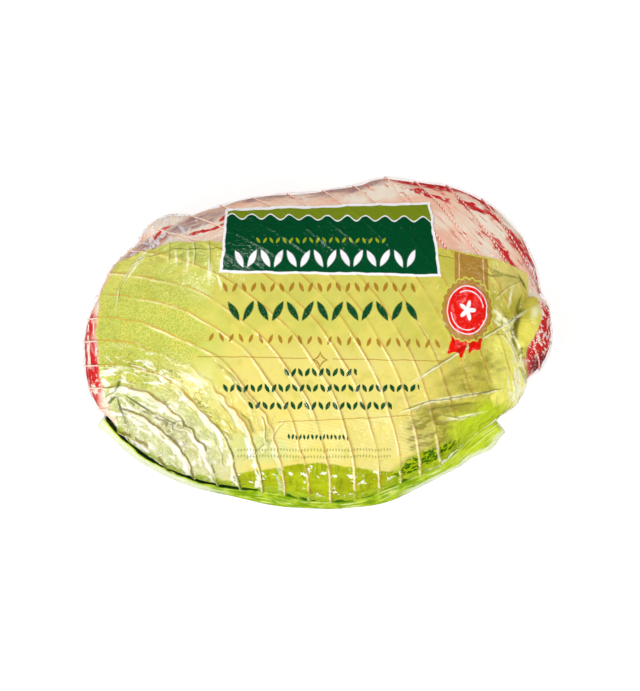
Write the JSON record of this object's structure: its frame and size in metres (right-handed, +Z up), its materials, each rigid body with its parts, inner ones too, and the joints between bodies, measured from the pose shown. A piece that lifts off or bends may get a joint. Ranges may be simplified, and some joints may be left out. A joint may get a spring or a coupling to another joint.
{
  "type": "raw leg of lamb in a film pack",
  "caption": "Boneless raw leg of lamb, rolled in an elastic net and vacuum sealed in tinted film: an oval domed lump with cord ridges, bulging ends and a welded hem",
  "frame": {"origin": "middle of the pack's box in plan, at the height of the flat it lies on", "axes": "+X along the leg towards its chump end, +Y across it away from the welded hem, +Z up"},
  "size_m": [0.2349, 0.1652, 0.088],
  "materials": {
    "film": "tight glossy shrink film with translucent yellow-green ink, clear at the ends and along one long side",
    "meat": "moist raw lamb: red muscle, pink and cream fat, purple-grey silver skin",
    "net": "elastic netting of white cord with a red thread twisted in",
    "hem": "bright green welded film with a clear edge"
  },
  "bodies": {
    "root": {"pack": "film"}
  },
  "joints": []
}
